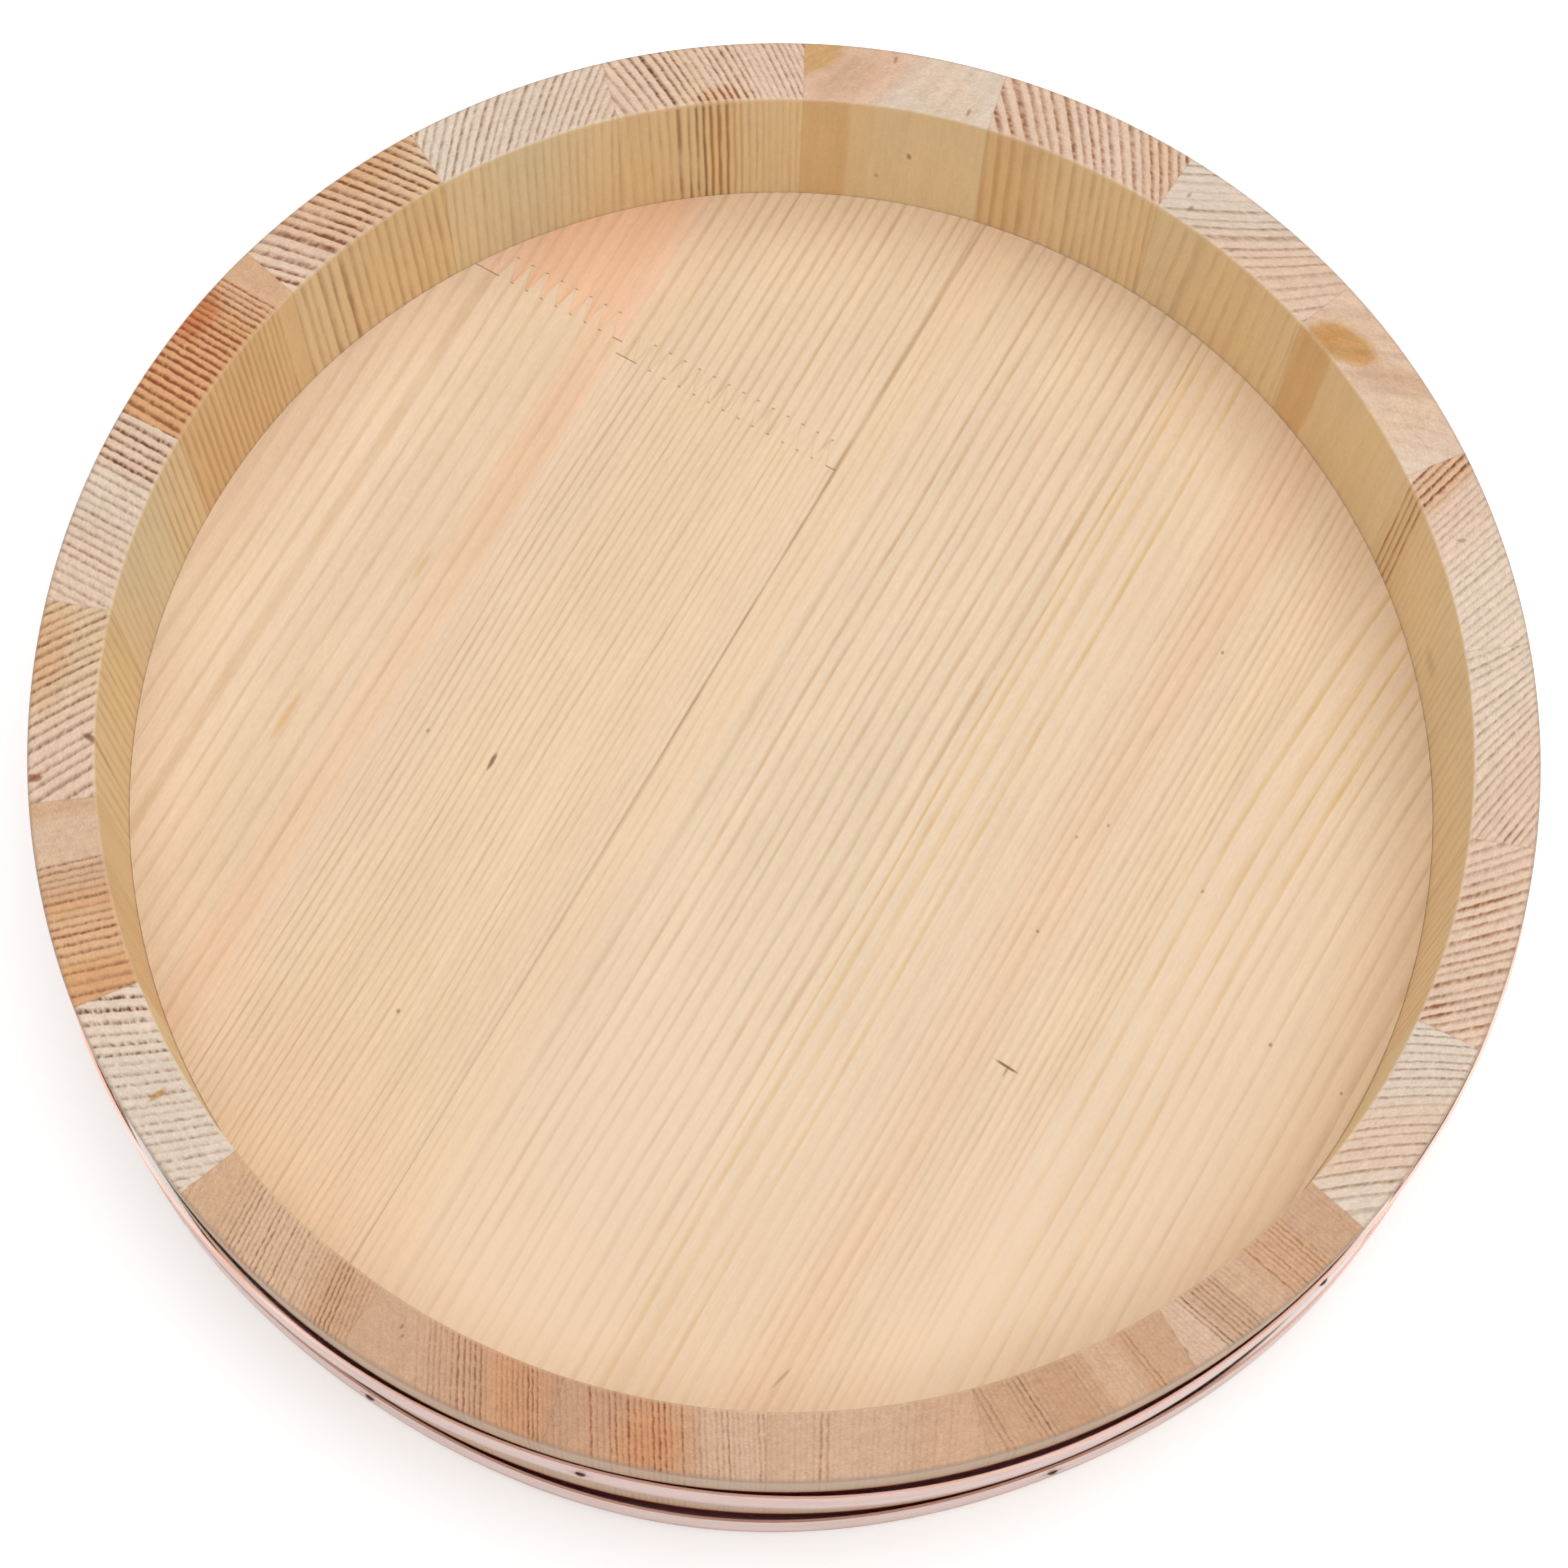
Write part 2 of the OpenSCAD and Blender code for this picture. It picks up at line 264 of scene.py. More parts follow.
class Sheet:
    """Lays out the nodes of one node tree."""

    ROW = 14
    STEP_X, STEP_Y = 190, -260

    def __init__(self, tree):
        self.tree = tree
        self.made = 0

    def node(self, kind, **settings):
        """A new node, laid in rows."""
        made = self.tree.nodes.new(kind)
        row, column = divmod(self.made, self.ROW)
        made.location = (column * self.STEP_X, row * self.STEP_Y)
        self.made += 1
        for name, value in settings.items():
            setattr(made, name, value)
        return made

    def put(self, value, socket):
        """Joins a term to a socket, or sets the socket to a number or colour."""
        if isinstance(value, Term):
            self.tree.links.new(value.socket, socket)
        elif socket.type == "RGBA" and len(value) == 3:
            socket.default_value = (*value, 1.0)
        else:
            socket.default_value = value

    def math(self, operation, *values):
        """What a math node makes of one value or more."""
        made = self.node("ShaderNodeMath", operation=operation)
        for value, socket in zip(values, made.inputs):
            self.put(value, socket)
        return Term(self, made.outputs[0])

    def ramp(self, value, low, high):
        """0 below low, 1 above high and smooth between."""
        made = self.node("ShaderNodeMapRange", interpolation_type="SMOOTHSTEP")
        self.put(value, made.inputs["Value"])
        self.put(low, made.inputs["From Min"])
        self.put(high, made.inputs["From Max"])
        return Term(self, made.outputs[0])

    def window(self, value, low, high, soft):
        """1 between low and high, and 0 beyond them."""
        rise = self.ramp(value, low - soft, low + soft)
        return rise - self.ramp(value, high - soft, high + soft)

    def point(self, x, y, z=0.0):
        """A vector of three values."""
        made = self.node("ShaderNodeCombineXYZ")
        for value, socket in zip((x, y, z), made.inputs):
            self.put(value, socket)
        return Term(self, made.outputs[0])

    def split(self, vector):
        """The three parts of a vector."""
        made = self.node("ShaderNodeSeparateXYZ")
        self.put(vector, made.inputs[0])
        return [Term(self, out) for out in made.outputs]

    def noise(self, place, detail=2.0, roughness=0.5, distortion=0.0):
        """Smooth noise about 0, from about -0.5 to 0.5."""
        made = self.node("ShaderNodeTexNoise", noise_dimensions="3D")
        self.put(place, made.inputs["Vector"])
        made.inputs["Scale"].default_value = 1.0
        made.inputs["Detail"].default_value = detail
        made.inputs["Roughness"].default_value = roughness
        made.inputs["Distortion"].default_value = distortion
        return Term(self, made.outputs[0]) - 0.5

    def chance(self, value):
        """A number from 0 to 1 of its own for each value."""
        made = self.node("ShaderNodeTexWhiteNoise", noise_dimensions="1D")
        self.put(value, made.inputs["W"])
        return Term(self, made.outputs["Value"])

    def mix(self, amount, one, other, blend="MIX"):
        """The first colour at amount 0, and the other one, or their blend, at 1."""
        made = self.node("ShaderNodeMix", data_type="RGBA", blend_type=blend)
        made.clamp_factor = True
        self.put(amount, made.inputs[0])
        self.put(one, made.inputs[6])
        self.put(other, made.inputs[7])
        return Term(self, made.outputs[2])

    def dim(self, colour, value):
        """A colour times a value."""
        made = self.node("ShaderNodeVectorMath", operation="SCALE")
        self.put(colour, made.inputs[0])
        self.put(value, made.inputs["Scale"])
        return Term(self, made.outputs[0])

    def use(self, group, **values):
        """Puts in a node group, with underscores for the spaces in its sockets' names."""
        made = self.node("ShaderNodeGroup", node_tree=group)
        for name, value in values.items():
            self.put(value, made.inputs[name.replace("_", " ").capitalize()])
        return [Term(self, out) for out in made.outputs]


def new_group(name, inputs, outputs):
    """An empty node group with a sheet to fill it in, its inputs as terms and its output node."""
    group = bpy.data.node_groups.new(name, "ShaderNodeTree")
    for title, kind in inputs:
        group.interface.new_socket(title, in_out="INPUT", socket_type=kind)
    for title, kind in outputs:
        group.interface.new_socket(title, in_out="OUTPUT", socket_type=kind)
    sheet = Sheet(group)
    entry = sheet.node("NodeGroupInput")
    terms = [Term(sheet, out) for out in entry.outputs if out.name]
    return group, sheet, terms, sheet.node("NodeGroupOutput")


NUMBER = "NodeSocketFloat"
COLOUR = "NodeSocketColor"


def growth_rings():
    """Late wood lines across a piece, each ring with a strength of its own."""
    names = ("Across", "Depth", "Along", "Rate", "Gain", "Start", "Seed")
    names += ("Drift", "Tremble", "Wander", "Thin", "Uneven", "Broken")
    group, sheet, terms, out = new_group(
        "Growth rings", [(n, NUMBER) for n in names], [("Line", NUMBER)]
    )
    across, depth, along, rate, gain, start, seed, drift, tremble = terms[:9]
    wander, thin, uneven, broken = terms[9:]
    slow = sheet.noise(sheet.point(across * 0.012, along * 0.009, seed), detail=1.0)
    quick = sheet.noise(
        sheet.point(across * 0.55 + seed, depth * 0.6, along * 0.05), detail=2.0
    )
    at = across + slow * drift * 2.0 + quick * tremble * 2.0
    step = sheet.noise(sheet.point(at * 0.16, seed, 0.5), detail=1.0)
    phase = at * (rate + at * gain) + start + step * wander * 2.0
    ring = sheet.math("FLOOR", phase)
    inside = phase - ring
    strength = 1.0 - sheet.chance(ring + seed * 7.0) * uneven
    full, fall = 0.86, 0.92
    line = sheet.ramp(inside, thin, full) - sheet.ramp(inside, fall, 1.0)
    gaps = sheet.noise(sheet.point(at * 0.5, depth * 1.1, along * 0.07 + seed), detail=3.0)
    sheet.put(line * strength * (1.0 + gaps * broken * 3.2), out.inputs[0])
    return group


def patch():
    """A soft-edged oval."""
    names = ("X", "Y", "Middle x", "Middle y", "Half w", "Half h", "Turn", "Soft", "Ragged")
    group, sheet, terms, out = new_group("Patch", [(n, NUMBER) for n in names], [("Mask", NUMBER)])
    x, y, middle_x, middle_y, half_w, half_h, turn, soft, ragged = terms
    cos, sin = sheet.math("COSINE", turn), sheet.math("SINE", turn)
    dx, dy = x - middle_x, y - middle_y
    u = (dx * cos + dy * sin) / half_w
    v = (dy * cos - dx * sin) / half_h
    rough = sheet.noise(sheet.point(u * 1.3 + middle_x, v * 1.3, middle_y), detail=3.0)
    reach = sheet.math("SQRT", u * u + v * v) + rough * ragged * 2.0
    sheet.put(1.0 - sheet.ramp(reach, 1.0 - soft, 1.0 + soft), out.inputs[0])
    return group


def bare_wood():
    """Colour, roughness and height of sanded softwood. The fibres run along the piece."""
    inputs = [(n, NUMBER) for n in ("Across", "Depth", "Along", "Line", "Seed")]
    inputs += [("Ground", COLOUR), ("Late wood", COLOUR)]
    inputs += [(n, NUMBER) for n in ("Mottle", "Dullness")]
    group, sheet, terms, out = new_group(
        "Bare wood", inputs, [("Colour", COLOUR), ("Roughness", NUMBER), ("Height", NUMBER)]
    )
    across, depth, along, line, seed, ground, late, mottle, dullness = terms
    cloud = sheet.noise(sheet.point(across * 0.06, depth * 0.06 + seed, along * 0.02), detail=1.0)
    streak = sheet.noise(
        sheet.point(across * 0.45 + seed, depth * 0.45, along * 0.012), detail=4.0, roughness=0.75
    )
    fibre = sheet.noise(
        sheet.point(across * 2.2, depth * 2.2 + seed, along * 0.1), detail=2.0, roughness=0.7
    )
    speck = sheet.noise(sheet.point(across * 2.4, depth * 2.4, along * 0.8 + seed), detail=1.0)
    shade = 1.0 + cloud * 0.12 + (streak * 0.42 + fibre * 0.4 + speck * 0.3) * mottle
    colour = sheet.mix(line, sheet.dim(ground, shade), sheet.dim(late, shade))
    sheet.put(colour, out.inputs["Colour"])
    sheet.put(
        dullness + fibre * 0.16 + cloud * 0.06 - line * 0.05, out.inputs["Roughness"]
    )
    sheet.put(fibre * 1.4 + streak * 0.5, out.inputs["Height"])
    return group


# The finger joints: side of the board across the grain and start of the joint along it, both
# from the axis of the tub, and the two lengths of board that meet there
FINGER_MARGIN = 2.6
FINGER_PITCH = 4.0
FINGER_L = 6.5
FINGER_JOINTS = (
    (-87.25, 76.4, ("bottom_board_1", "bottom_board_1_end")),
    (-27.75, 73.3, ("bottom_board_2", "bottom_board_2_end")),
)
# The joint beside the middle board, which is open enough to show its glue
OPEN_JOINT_AT = -27.8
OPEN_JOINT = ("bottom_board_2", "bottom_board_2_end", "bottom_board_3")
# Lower and upper edge of each band
BANDS_Z = ((44.6, 60.4), (8.1, 23.9))
# Directions of the nails of each band, the last two in the overlap of its ends
NAILS_AZ = (
    (138.9, 198.4, 257.9, 317.4, 16.9, 76.4, 102.8, 112.5),
    (130.4, 185.0, 239.6, 294.2, 348.8, 43.4, 82.1, 91.7),
)

# How the late wood's lines run: how far they wander over the piece, how much they tremble, how
# uneven their spacing is, how little of each ring they fill, and how uneven and broken they are
LINE_HABITS = ("drift", "tremble", "wander", "thin", "uneven", "broken")

STAVE_PLAIN = {
    "tones": ("cream", "pink"),
    "line": "dust",
    "pitch": (1.0, 1.0),
    "lean": (0.0, 0.0),
    "bow": 0.0,
    "mark": 0.6,
    "thin": 0.4,
    "uneven": 0.5,
    "wander": 0.5,
    "drift": 0.6,
    "tremble": 0.34,
    "broken": 0.8,
    "groups": (),
    "tints": (),
    "patches": (),
    "knots": (),
    "side_lines": (),
    "side_patches": (),
}

# Each stave's end grain. pitch is the rings' spacing and lean how far each line runs round
# between the inner edge and the outer one, both in degrees, at the stave's two sides.
# groups: from, to, strength, tone of the lines. tints: from, to, tone, amount.
# patches: azimuth, radius, half width, half height, turn, tone, amount, softness.
# knots: the same five, and how much stronger the lines get there.
# side_lines, on the wall's inner side: from, to, how much stronger the lines get.
# side_patches, there too: azimuth, height, half width, half height, turn, tone, amount, softness.
STAVES = (
    {
        "pitch": (0.76, 0.67),
        "lean": (3.3, 2.2),
        "mark": 0.5,
        "groups": ((23.8, 26.6, 2.0, "umber"),),
        "tints": ((23.2, 26.3, "orange", 0.55),),
        "side_lines": ((23.8, 26.6, 1.0),),
        "side_patches": ((12.8, 44.0, 3.0, 3.0, 0, "bark", 0.22, 0.9),),
        "patches": ((19.2, 156.0, 0.5, 1.0, 15, "bark", 0.5, 0.5),),
    },
    {
        "pitch": (1.6, 2.5),
        "lean": (-4.5, -4.5),
        "mark": 0.22,
        "tints": ((26.0, 43.0, "fawn", 0.42),),
        "side_patches": ((40.4, 50.0, 5.4, 70.0, 0, "side_rust", 0.5, 0.12),),
        "patches": (
            (33.8, 159.5, 9.0, 3.4, -50, "tan", 0.6, 0.5),
            (31.0, 156.0, 4.5, 9.0, 25, "honey", 0.4, 0.4),
            (39.0, 154.5, 8.2, 4.2, -26, "ochre", 0.92, 0.3),
            (40.2, 153.4, 5.0, 3.0, -26, "rust", 0.2, 0.6),
            (36.9, 156.2, 3.0, 2.2, -30, "rust", 0.2, 0.7),
        ),
    },
    {
        "tones": ("pink", "grey"),
        "pitch": (1.1, 1.5),
        "lean": (-3.0, -9.0),
        "bow": -0.6,
        "mark": 0.64,
        "thin": 0.5,
        "side_patches": ((50.5, 50.0, 12.0, 70.0, 0, "side_rust", 0.1, 0.6),),
        "groups": ((54.5, 59.0, 0.55, "dust"),),
        "tints": ((42.0, 59.5, "fawn", 0.18),),
        "patches": (
            (56.4, 154.0, 0.5, 0.9, 20, "bark", 0.6, 0.5),
            (57.2, 156.6, 0.4, 0.7, 10, "bark", 0.5, 0.5),
            (51.3, 151.9, 0.4, 0.8, 20, "bark", 0.5, 0.5),
        ),
    },
    {
        "tones": ("pink", "pink"),
        "line": "brown",
        "pitch": (0.85, 1.2),
        "lean": (3.4, 3.1),
        "mark": 0.92,
        "thin": 0.3,
        "tints": ((58.8, 62.0, "orange", 0.2), (69.0, 75.2, "rose", 0.15)),
        "side_patches": ((73.0, 50.0, 9.0, 70.0, 0, "side_rust", 0.3, 0.5),),
    },
    {
        "tones": ("grey", "pink"),
        "pitch": (2.2, 2.8),
        "lean": (-2.0, -5.0),
        "mark": 0.09,
        "tints": ((84.0, 93.0, "rose", 0.45), (75.0, 88.0, "fawn", 0.25)),
        "side_patches": (
            (89.6, 50.0, 6.2, 70.0, 0, "side_rust", 0.42, 0.1),
            (81.8, 53.0, 0.5, 1.3, -10, "bark", 0.7, 0.6),
            (84.6, 41.0, 0.5, 0.9, -10, "bark", 0.4, 0.6),
        ),
        "patches": (
            (79.5, 157.0, 8.0, 6.0, 30, "honey", 0.35, 0.6),
            (84.5, 160.0, 7.0, 4.5, -40, "rose", 0.35, 0.6),
            (88.5, 156.5, 9.0, 5.0, -30, "tan", 0.6, 0.6),
            (90.8, 163.6, 9.0, 5.6, -32, "ochre", 0.75, 0.35),
            (77.2, 153.0, 0.4, 0.9, 10, "bark", 0.55, 0.5),
            (84.1, 162.4, 0.4, 0.9, 10, "bark", 0.55, 0.5),
        ),
    },
    {
        "tones": ("pink", "pink"),
        "line": "brown",
        "pitch": (0.52, 0.98),
        "lean": (2.4, 2.4),
        "mark": 0.72,
        "groups": ((96.5, 108.0, 1.15, "brown"), (101.0, 106.0, 1.2, "dark")),
        "tints": ((100.0, 104.0, "honey", 0.5),),
        "knots": ((98.6, 150.6, 4.6, 2.8, 0, 3.0),),
        "side_lines": ((99.0, 103.8, 1.2),),
        "side_patches": ((105.0, 50.0, 8.5, 70.0, 0, "side_rust", 0.08, 0.4),),
        "patches": ((98.9, 150.8, 4.8, 3.0, 0, "orange", 0.45, 0.5),),
    },
    {
        "tones": ("pink", "cream"),
        "pitch": (0.75, 0.95),
        "lean": (-3.8, -4.3),
        "mark": 0.85,
        "tints": ((112.0, 121.0, "pink", 0.2), (108.0, 125.2, "grey", 0.55)),
        "side_patches": ((116.5, 50.0, 10.0, 70.0, 0, "grey", 0.55, 0.9),),
    },
    {
        "tones": ("honey", "pink"),
        "line": "umber",
        "pitch": (0.88, 1.08),
        "lean": (3.5, 2.6),
        "mark": 1.1,
        "thin": 0.34,
        "tints": ((126.0, 137.0, "orange", 0.3), (129.5, 136.5, "rose", 0.3)),
        "patches": ((128.5, 163.5, 12.0, 4.5, 0, "orange", 0.55, 0.6),),
        "knots": ((133.5, 153.5, 5.0, 3.5, 0, 0.6),),
        "side_lines": ((136.4, 139.6, 0.9),),
    },
    {
        "tones": ("orange", "orange"),
        "line": "brown",
        "pitch": (0.5, 0.98),
        "lean": (1.1, -0.5),
        "mark": 1.25,
        "thin": 0.3,
        "uneven": 0.35,
        "groups": ((139.0, 143.0, 0.0, "dark"), (147.0, 154.5, 1.15, "red")),
        "tints": ((139.0, 143.1, "fawn", 0.8), (142.6, 145.4, "rose", 0.5)),
        "patches": ((147.0, 163.5, 6.0, 4.0, 0, "rust", 0.85, 0.5),),
    },
    {
        "pitch": (0.84, 0.78),
        "lean": (-0.3, -1.8),
        "mark": 0.75,
        "groups": ((156.0, 161.9, 1.3, "dark"),),
        "tints": ((157.0, 161.9, "orange", 0.3), (162.5, 173.5, "grey", 0.25)),
        "side_patches": ((166.0, 50.0, 14.0, 70.0, 0, "grey", 0.6, 0.9),),
    },
    {
        "tones": ("honey", "pink"),
        "line": "umber",
        "pitch": (0.88, 1.1),
        "lean": (3.7, 2.9),
        "mark": 0.8,
        "patches": (
            (177.5, 163.0, 11.0, 5.0, 0, "orange", 0.55, 0.6),
            (187.7, 163.4, 0.9, 1.7, 0, "red", 0.75, 0.3),
            (184.6, 151.0, 0.7, 2.0, 30, "dark", 0.8, 0.4),
        ),
    },
    {
        "tones": ("fawn", "orange"),
        "line": "umber",
        "pitch": (0.5, 0.95),
        "lean": (0.7, -0.9),
        "mark": 0.72,
        "groups": ((189.0, 194.8, 0.12, "brown"), (199.8, 202.0, 1.35, "red")),
        "tints": ((191.0, 195.0, "pink", 0.45), (199.0, 203.0, "honey", 0.35)),
    },
    {
        "tones": ("cream", "cream"),
        "pitch": (1.0, 0.8),
        "lean": (-1.9, -2.8),
        "mark": 0.5,
        "groups": ((205.5, 209.6, 1.6, "dark"), (210.4, 212.0, 1.3, "dark")),
        "broken": 1.6,
        "tints": ((211.0, 223.0, "grey", 0.6),),
        "patches": ((215.1, 157.0, 0.7, 2.0, -8, "ochre", 0.9, 0.4),),
    },
    {
        "tones": ("fawn", "fawn"),
        "line": "brown",
        "pitch": (0.52, 0.38),
        "lean": (2.2, 1.3),
        "mark": 0.66,
        "groups": (
            (222.0, 225.6, 0.5, "dust"),
            (229.0, 231.0, 1.3, "brown"),
            (235.2, 238.2, 1.5, "brown"),
        ),
        "tints": ((226.5, 234.0, "pink", 0.3), (235.0, 239.5, "clay", 0.3)),
        "uneven": 0.7,
    },
    {
        "tones": ("tan", "clay"),
        "line": "brown",
        "pitch": (0.6, 0.4),
        "lean": (3.2, 1.9),
        "mark": 0.42,
        "groups": (
            (238.0, 243.6, 0.3, "brown"),
            (244.8, 249.7, 2.1, "brown"),
            (250.6, 254.2, 2.4, "dark"),
        ),
        "tints": (
            (238.0, 250.0, "pink", 0.07),
            (243.0, 248.5, "rose", 0.2),
            (249.8, 254.4, "orange", 0.5),
            (250.5, 254.0, "rust", 0.14),
        ),
        "patches": (
            (241.9, 155.0, 0.35, 0.6, 10, "bark", 0.6, 0.6),
            (242.3, 156.6, 0.3, 0.5, 10, "bark", 0.5, 0.6),
        ),
        "uneven": 0.7,
    },
    {
        "tones": ("clay", "tan"),
        "line": "brown",
        "pitch": (0.52, 0.4),
        "lean": (1.9, 0.4),
        "mark": 0.34,
        "groups": (
            (257.6, 265.4, 2.6, "red"),
            (265.8, 268.9, 2.0, "brown"),
            (270.2, 271.6, 2.0, "brown"),
        ),
        "tints": ((255.0, 260.2, "tan", 0.4), (266.4, 273.0, "pink", 0.35)),
        "patches": (
            (262.8, 158.5, 7.6, 9.5, 8, "orange", 0.5, 0.5),
            (263.0, 159.5, 5.0, 6.0, 8, "rust", 0.35, 0.8),
        ),
        "uneven": 0.7,
    },
    {
        "tones": ("tan", "tan"),
        "line": "brown",
        "pitch": (0.45, 0.6),
        "lean": (0.2, -2.0),
        "mark": 0.17,
        "groups": (
            (273.2, 273.9, 2.5, "brown"),
            (275.2, 276.3, 5.5, "brown"),
            (281.0, 283.2, 2.0, "brown"),
        ),
        "tints": ((272.0, 283.0, "pink", 0.28), (284.0, 288.0, "rose", 0.3)),
        "uneven": 0.7,
    },
    {
        "tones": ("tan", "tan"),
        "line": "brown",
        "pitch": (0.45, 0.42),
        "lean": (1.4, 0.8),
        "mark": 0.19,
        "groups": (
            (288.2, 289.7, 3.0, "brown"),
            (291.0, 292.9, 4.2, "dark"),
            (295.6, 297.0, 3.2, "brown"),
            (300.5, 301.6, 3.2, "brown"),
        ),
        "tints": (
            (293.0, 296.0, "clay", 0.5),
            (297.4, 300.0, "pink", 0.3),
            (289.0, 303.0, "ochre", 0.12),
        ),
        "uneven": 0.7,
    },
    {
        "tones": ("tan", "tan"),
        "line": "brown",
        "pitch": (0.42, 0.4),
        "lean": (1.7, 0.1),
        "mark": 0.24,
        "groups": ((306.3, 310.0, 3.0, "dark"), (313.0, 316.8, 3.4, "brown")),
        "tints": (
            (306.0, 318.0, "grey", 0.06),
            (303.0, 307.0, "pink", 0.5),
            (310.0, 312.4, "honey", 0.2),
            (313.0, 317.0, "orange", 0.3),
        ),
        "patches": ((304.2, 160.6, 0.6, 1.0, 0, "bark", 0.5, 0.5),),
        "uneven": 0.7,
    },
    {
        "tones": ("cream", "grey"),
        "pitch": (1.8, 0.66),
        "lean": (6.6, 2.0),
        "mark": 0.72,
        "thin": 0.6,
        "tints": (
            (324.0, 331.0, "pink", 0.6),
            (318.0, 323.5, "grey", 0.5),
            (322.0, 336.0, "tan", 0.14),
        ),
    },
    {
        "tones": ("pink", "pink"),
        "line": "brown",
        "pitch": (0.9, 1.02),
        "lean": (4.0, 2.9),
        "mark": 0.7,
        "thin": 0.36,
        "groups": ((337.0, 342.0, 1.1, "brown"),),
        "knots": (
            (338.8, 152.4, 3.4, 3.0, 0, 0.8),
            (347.6, 155.5, 5.0, 5.0, -30, 0.6),
        ),
    },
    {
        "tones": ("pink", "cream"),
        "pitch": (1.25, 0.7),
        "lean": (9.4, 2.0),
        "bow": 1.6,
        "mark": 0.65,
        "knots": ((354.6, 158.5, 2.4, 2.4, 30, 1.0),),
    },
)

BOARD_PLAIN = {
    "tones": ("pale", "pale"),
    "line": "thread",
    "pitch": (4.0, 4.0),
    "mark": 0.37,
    "thin": 0.52,
    "uneven": 0.6,
    "wander": 0.8,
    "tremble": 0.16,
    "broken": 0.7,
    "drift": 1.6,
    "sweep": (150.0, 0.0),
    "groups": (),
    "tints": (),
    "patches": (),
}

# Each board of the bottom, in mm. low and high are its sides, across the grain from the axis.
# groups and tints as above, from the axis too.
# sweep: where the lines start to bend sideways, and how far they have gone 100 mm on.
# patches: place across the grain and along it, and the rest as above.
BOARDS = {
    "bottom_board_1": {
        "low": -150.0,
        "high": -87.25,
        "pitch": (5.2, 4.0),
        "mark": 0.39,
        "tints": ((-150, -115, "cream", 0.35), (-96.5, -87, "rose", 0.3)),
        "patches": (
            (-91, 45, 7.0, 34.0, 0, "orange", 0.17, 0.9),
            (-107, -42, 0.8, 7.0, 0, "ochre", 0.5, 0.6),
            (-99, 5, 0.7, 4.0, 0, "ochre", 0.45, 0.6),
        ),
    },
    "bottom_board_1_end": {
        "low": -150.0,
        "high": -87.25,
        "tones": ("pink", "pink"),
        "pitch": (3.4, 3.2),
        "mark": 0.31,
        "tints": ((-125, -86, "rose", 0.25), (-120, -90, "orange", 0.32)),
    },
    "bottom_board_2": {
        "low": -87.25,
        "high": -27.75,
        "pitch": (2.1, 1.75),
        "mark": 0.6,
        "uneven": 0.7,
        "tints": ((-72, -30, "honey", 0.3), (-87, -80, "pink", 0.3)),
        "patches": (
            (-60.5, -28, 0.5, 2.1, 2, "bark", 0.8, 0.35),
            (-48.5, -89, 0.45, 0.5, 0, "bark", 0.6, 0.4),
            (-77, -29, 0.4, 0.6, 0, "bark", 0.45, 0.4),
        ),
    },
    "bottom_board_2_end": {
        "low": -87.25,
        "high": -27.75,
        "pitch": (3.1, 2.9),
        "mark": 0.58,
        "tints": ((-87, -78, "honey", 0.3),),
    },
    "bottom_board_3": {
        "low": -27.75,
        "high": 31.75,
        "pitch": (2.9, 3.7),
        "mark": 0.62,
        "groups": ((-27.0, -9.0, 0.65, "thread"), (29.0, 32.0, 1.2, "straw")),
        "tints": ((-27.75, -18.0, "honey", 0.35),),
        "patches": (
            (12, -125, 32.0, 90.0, 0, "cream", 0.4, 0.9),
            (15, -142, 32.0, 26.0, 0, "cream", 0.35, 0.8),
        ),
    },
    "bottom_board_4": {
        "low": 31.75,
        "high": 91.25,
        "pitch": (4.4, 1.9),
        "thin": 0.36,
        "mark": 0.44,
        "groups": ((32.0, 50.0, 1.2, "straw"), (50.0, 58.0, 0.6, "thread")),
        "tints": ((57.0, 73.0, "rose", 0.17), (61.5, 70.5, "rose", 0.16), (80, 91, "honey", 0.2)),
        "patches": (
            (45, -120, 32.0, 80.0, 0, "cream", 0.25, 0.9),
            (91, -92, 12.0, 44.0, 0, "cream", 0.5, 0.8),
            (76, -32, 2.8, 0.3, -3, "bark", 0.9, 0.4),
            (76.4, -33, 0.25, 1.3, 0, "bark", 0.6, 0.5),
            (67, -1, 0.4, 0.4, 0, "bark", 0.6, 0.4),
            (69, 29, 0.35, 0.45, 0, "bark", 0.5, 0.4),
            (64, 23, 0.3, 0.4, 0, "bark", 0.5, 0.4),
            (72, 79, 0.35, 0.45, 0, "bark", 0.6, 0.4),
            (67, -118, 0.3, 3.0, -14, "bark", 0.4, 0.6),
        ),
    },
    "bottom_board_5": {
        "low": 91.25,
        "high": 150.0,
        "pitch": (5.0, 3.4),
        "thin": 0.46,
        "mark": 0.62,
        "drift": 2.5,
        "sweep": (40.0, 9.0),
        "groups": ((91.0, 112.0, 1.0, "straw"),),
        "tints": ((130, 150, "honey", 0.25),),
        "patches": (
            (122, -45, 32.0, 75.0, 0, "cream", 0.4, 0.9),
            (91, -92, 12.0, 44.0, 0, "cream", 0.5, 0.8),
            (95, 26, 0.35, 0.45, 0, "bark", 0.5, 0.4),
            (125, 2, 0.4, 0.5, 0, "bark", 0.6, 0.4),
            (144, 0, 0.35, 0.45, 0, "bark", 0.5, 0.4),
        ),
    },
}


